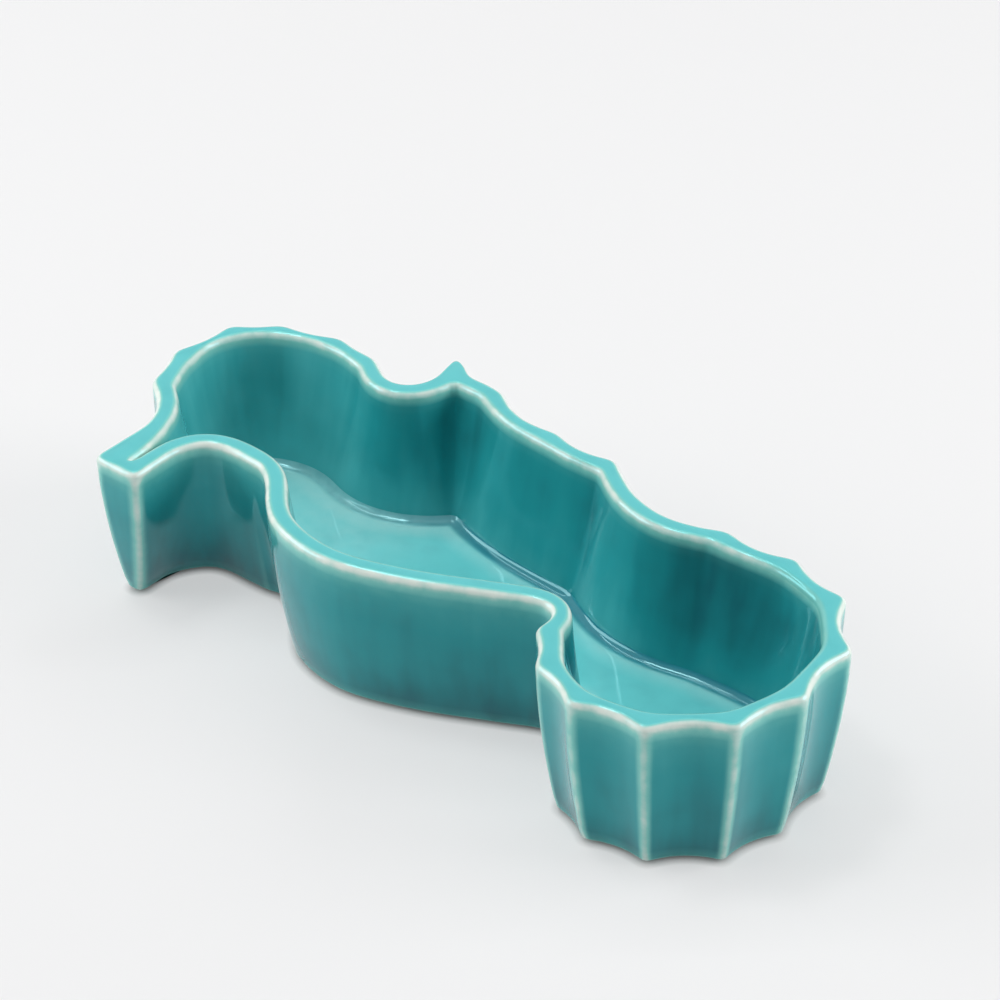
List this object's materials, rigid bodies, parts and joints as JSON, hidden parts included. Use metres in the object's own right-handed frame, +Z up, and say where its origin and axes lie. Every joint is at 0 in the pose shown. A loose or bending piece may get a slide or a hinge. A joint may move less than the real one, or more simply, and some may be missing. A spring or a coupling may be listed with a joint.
{
  "type": "decorative dish",
  "caption": "Long deep ceramic trinket dish in the outline of a seahorse, with a fluted crest, back and tail cup, glossy turquoise glaze and a plain foot ring.",
  "frame": {"origin": "on the table, under the middle of the dish's bounding box", "axes": "+Z up out of the open top, +X along the dish from the head to the tail cup, +Y from the belly to the back"},
  "size_m": [0.1998, 0.0879, 0.0405],
  "materials": {
    "glaze": "glossy, breaking to cream on rims and ridges",
    "floor_glaze": "glossy",
    "pooled_glaze": "very glossy, thick at the edge",
    "bare_clay": "matt, unglazed"
  },
  "bodies": {
    "root": {"wall": "glaze", "floor_slab": "floor_glaze", "foot_ring": "bare_clay", "glaze_pool": "pooled_glaze"}
  },
  "joints": []
}
